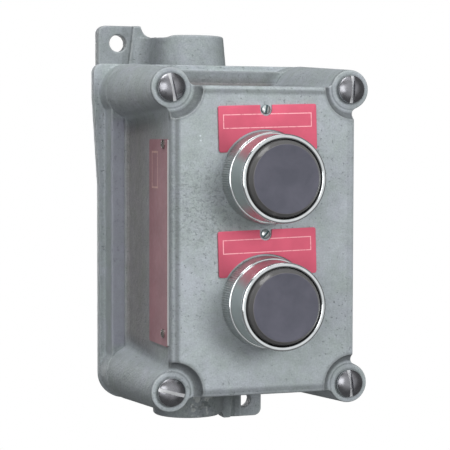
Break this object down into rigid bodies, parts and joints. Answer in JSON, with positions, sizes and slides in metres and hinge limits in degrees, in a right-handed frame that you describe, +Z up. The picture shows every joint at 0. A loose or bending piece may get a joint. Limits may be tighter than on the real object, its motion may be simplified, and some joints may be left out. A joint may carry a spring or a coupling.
{
  "type": "pushbutton control station",
  "caption": "Surface-mounted cast metal control station with guarded push buttons, red legend plates, a deep screwed cover and conduit hubs top and bottom.",
  "frame": {"origin": "centre of the box's flat back, in the plane of the wall", "axes": "+Z up, +X to the right as the user sees it, +Y into the wall; the buttons face -Y"},
  "size_m": [0.1344, 0.1835, 0.235],
  "materials": {
    "cast_enamel": "grey enamel over a rough sand casting, semi-gloss",
    "steel": "zinc-plated steel, bright",
    "green_steel": "green dyed zinc plating",
    "nameplate_red": "dull red enamel on sheet aluminium",
    "legend_red": "red enamel on sheet aluminium, semi-gloss",
    "knurled_metal": "dark grey fine-knurled metal",
    "chrome": "bright chrome plate",
    "zinc": "die-cast zinc, matt",
    "brass": "turned brass",
    "rubber": "black moulded rubber",
    "cap_plastic": "dark grey-violet moulded plastic, satin",
    "spring_steel": "bright spring wire",
    "phenolic": "black phenolic moulding",
    "carrier_plastic": "red-brown moulded plastic",
    "silver": "silver-faced copper bar"
  },
  "bodies": {
    "enclosure": {"back_box": "cast_enamel", "cover": "cast_enamel", "cover_screws": "steel", "nameplate": "nameplate_red", "nameplate_screws": "steel", "legend_screws": "steel", "ground_screw": "green_steel", "upper_legend_plate": "legend_red", "upper_clamp_ring": "knurled_metal", "upper_guard_ring": "chrome", "upper_operator_body": "zinc", "upper_shaft_bushing": "brass", "upper_panel_gasket": "rubber", "upper_contact_housing": "phenolic", "upper_contact_lid": "phenolic", "upper_block_screws": "steel", "upper_closed_contacts": "brass", "upper_open_contacts": "brass", "upper_terminal_screws": "brass", "lower_legend_plate": "legend_red", "lower_clamp_ring": "knurled_metal", "lower_guard_ring": "chrome", "lower_operator_body": "zinc", "lower_shaft_bushing": "brass", "lower_panel_gasket": "rubber", "lower_contact_housing": "phenolic", "lower_contact_lid": "phenolic", "lower_block_screws": "steel", "lower_closed_contacts": "brass", "lower_open_contacts": "brass", "lower_terminal_screws": "brass"},
    "upper_button": {"upper_button_cap": "cap_plastic", "upper_plunger_shaft": "steel", "upper_return_spring": "spring_steel", "upper_shaft_clip": "spring_steel", "upper_contact_carrier": "carrier_plastic", "upper_carrier_spring": "spring_steel", "upper_closed_bridge": "silver", "upper_open_bridge": "silver"},
    "lower_button": {"lower_button_cap": "cap_plastic", "lower_plunger_shaft": "steel", "lower_return_spring": "spring_steel", "lower_shaft_clip": "spring_steel", "lower_contact_carrier": "carrier_plastic", "lower_carrier_spring": "spring_steel", "lower_closed_bridge": "silver", "lower_open_bridge": "silver"}
  },
  "joints": [
    {"name": "upper_button_press", "type": "slide", "parent": "enclosure", "child": "upper_button", "axis": [0, 1, 0], "range_m": [0, 0.006], "stiffness_N_per_m": 1200, "deforming": ["upper_return_spring", "upper_carrier_spring"]},
    {"name": "lower_button_press", "type": "slide", "parent": "enclosure", "child": "lower_button", "axis": [0, 1, 0], "range_m": [0, 0.006], "stiffness_N_per_m": 1200, "deforming": ["lower_return_spring", "lower_carrier_spring"]}
  ]
}
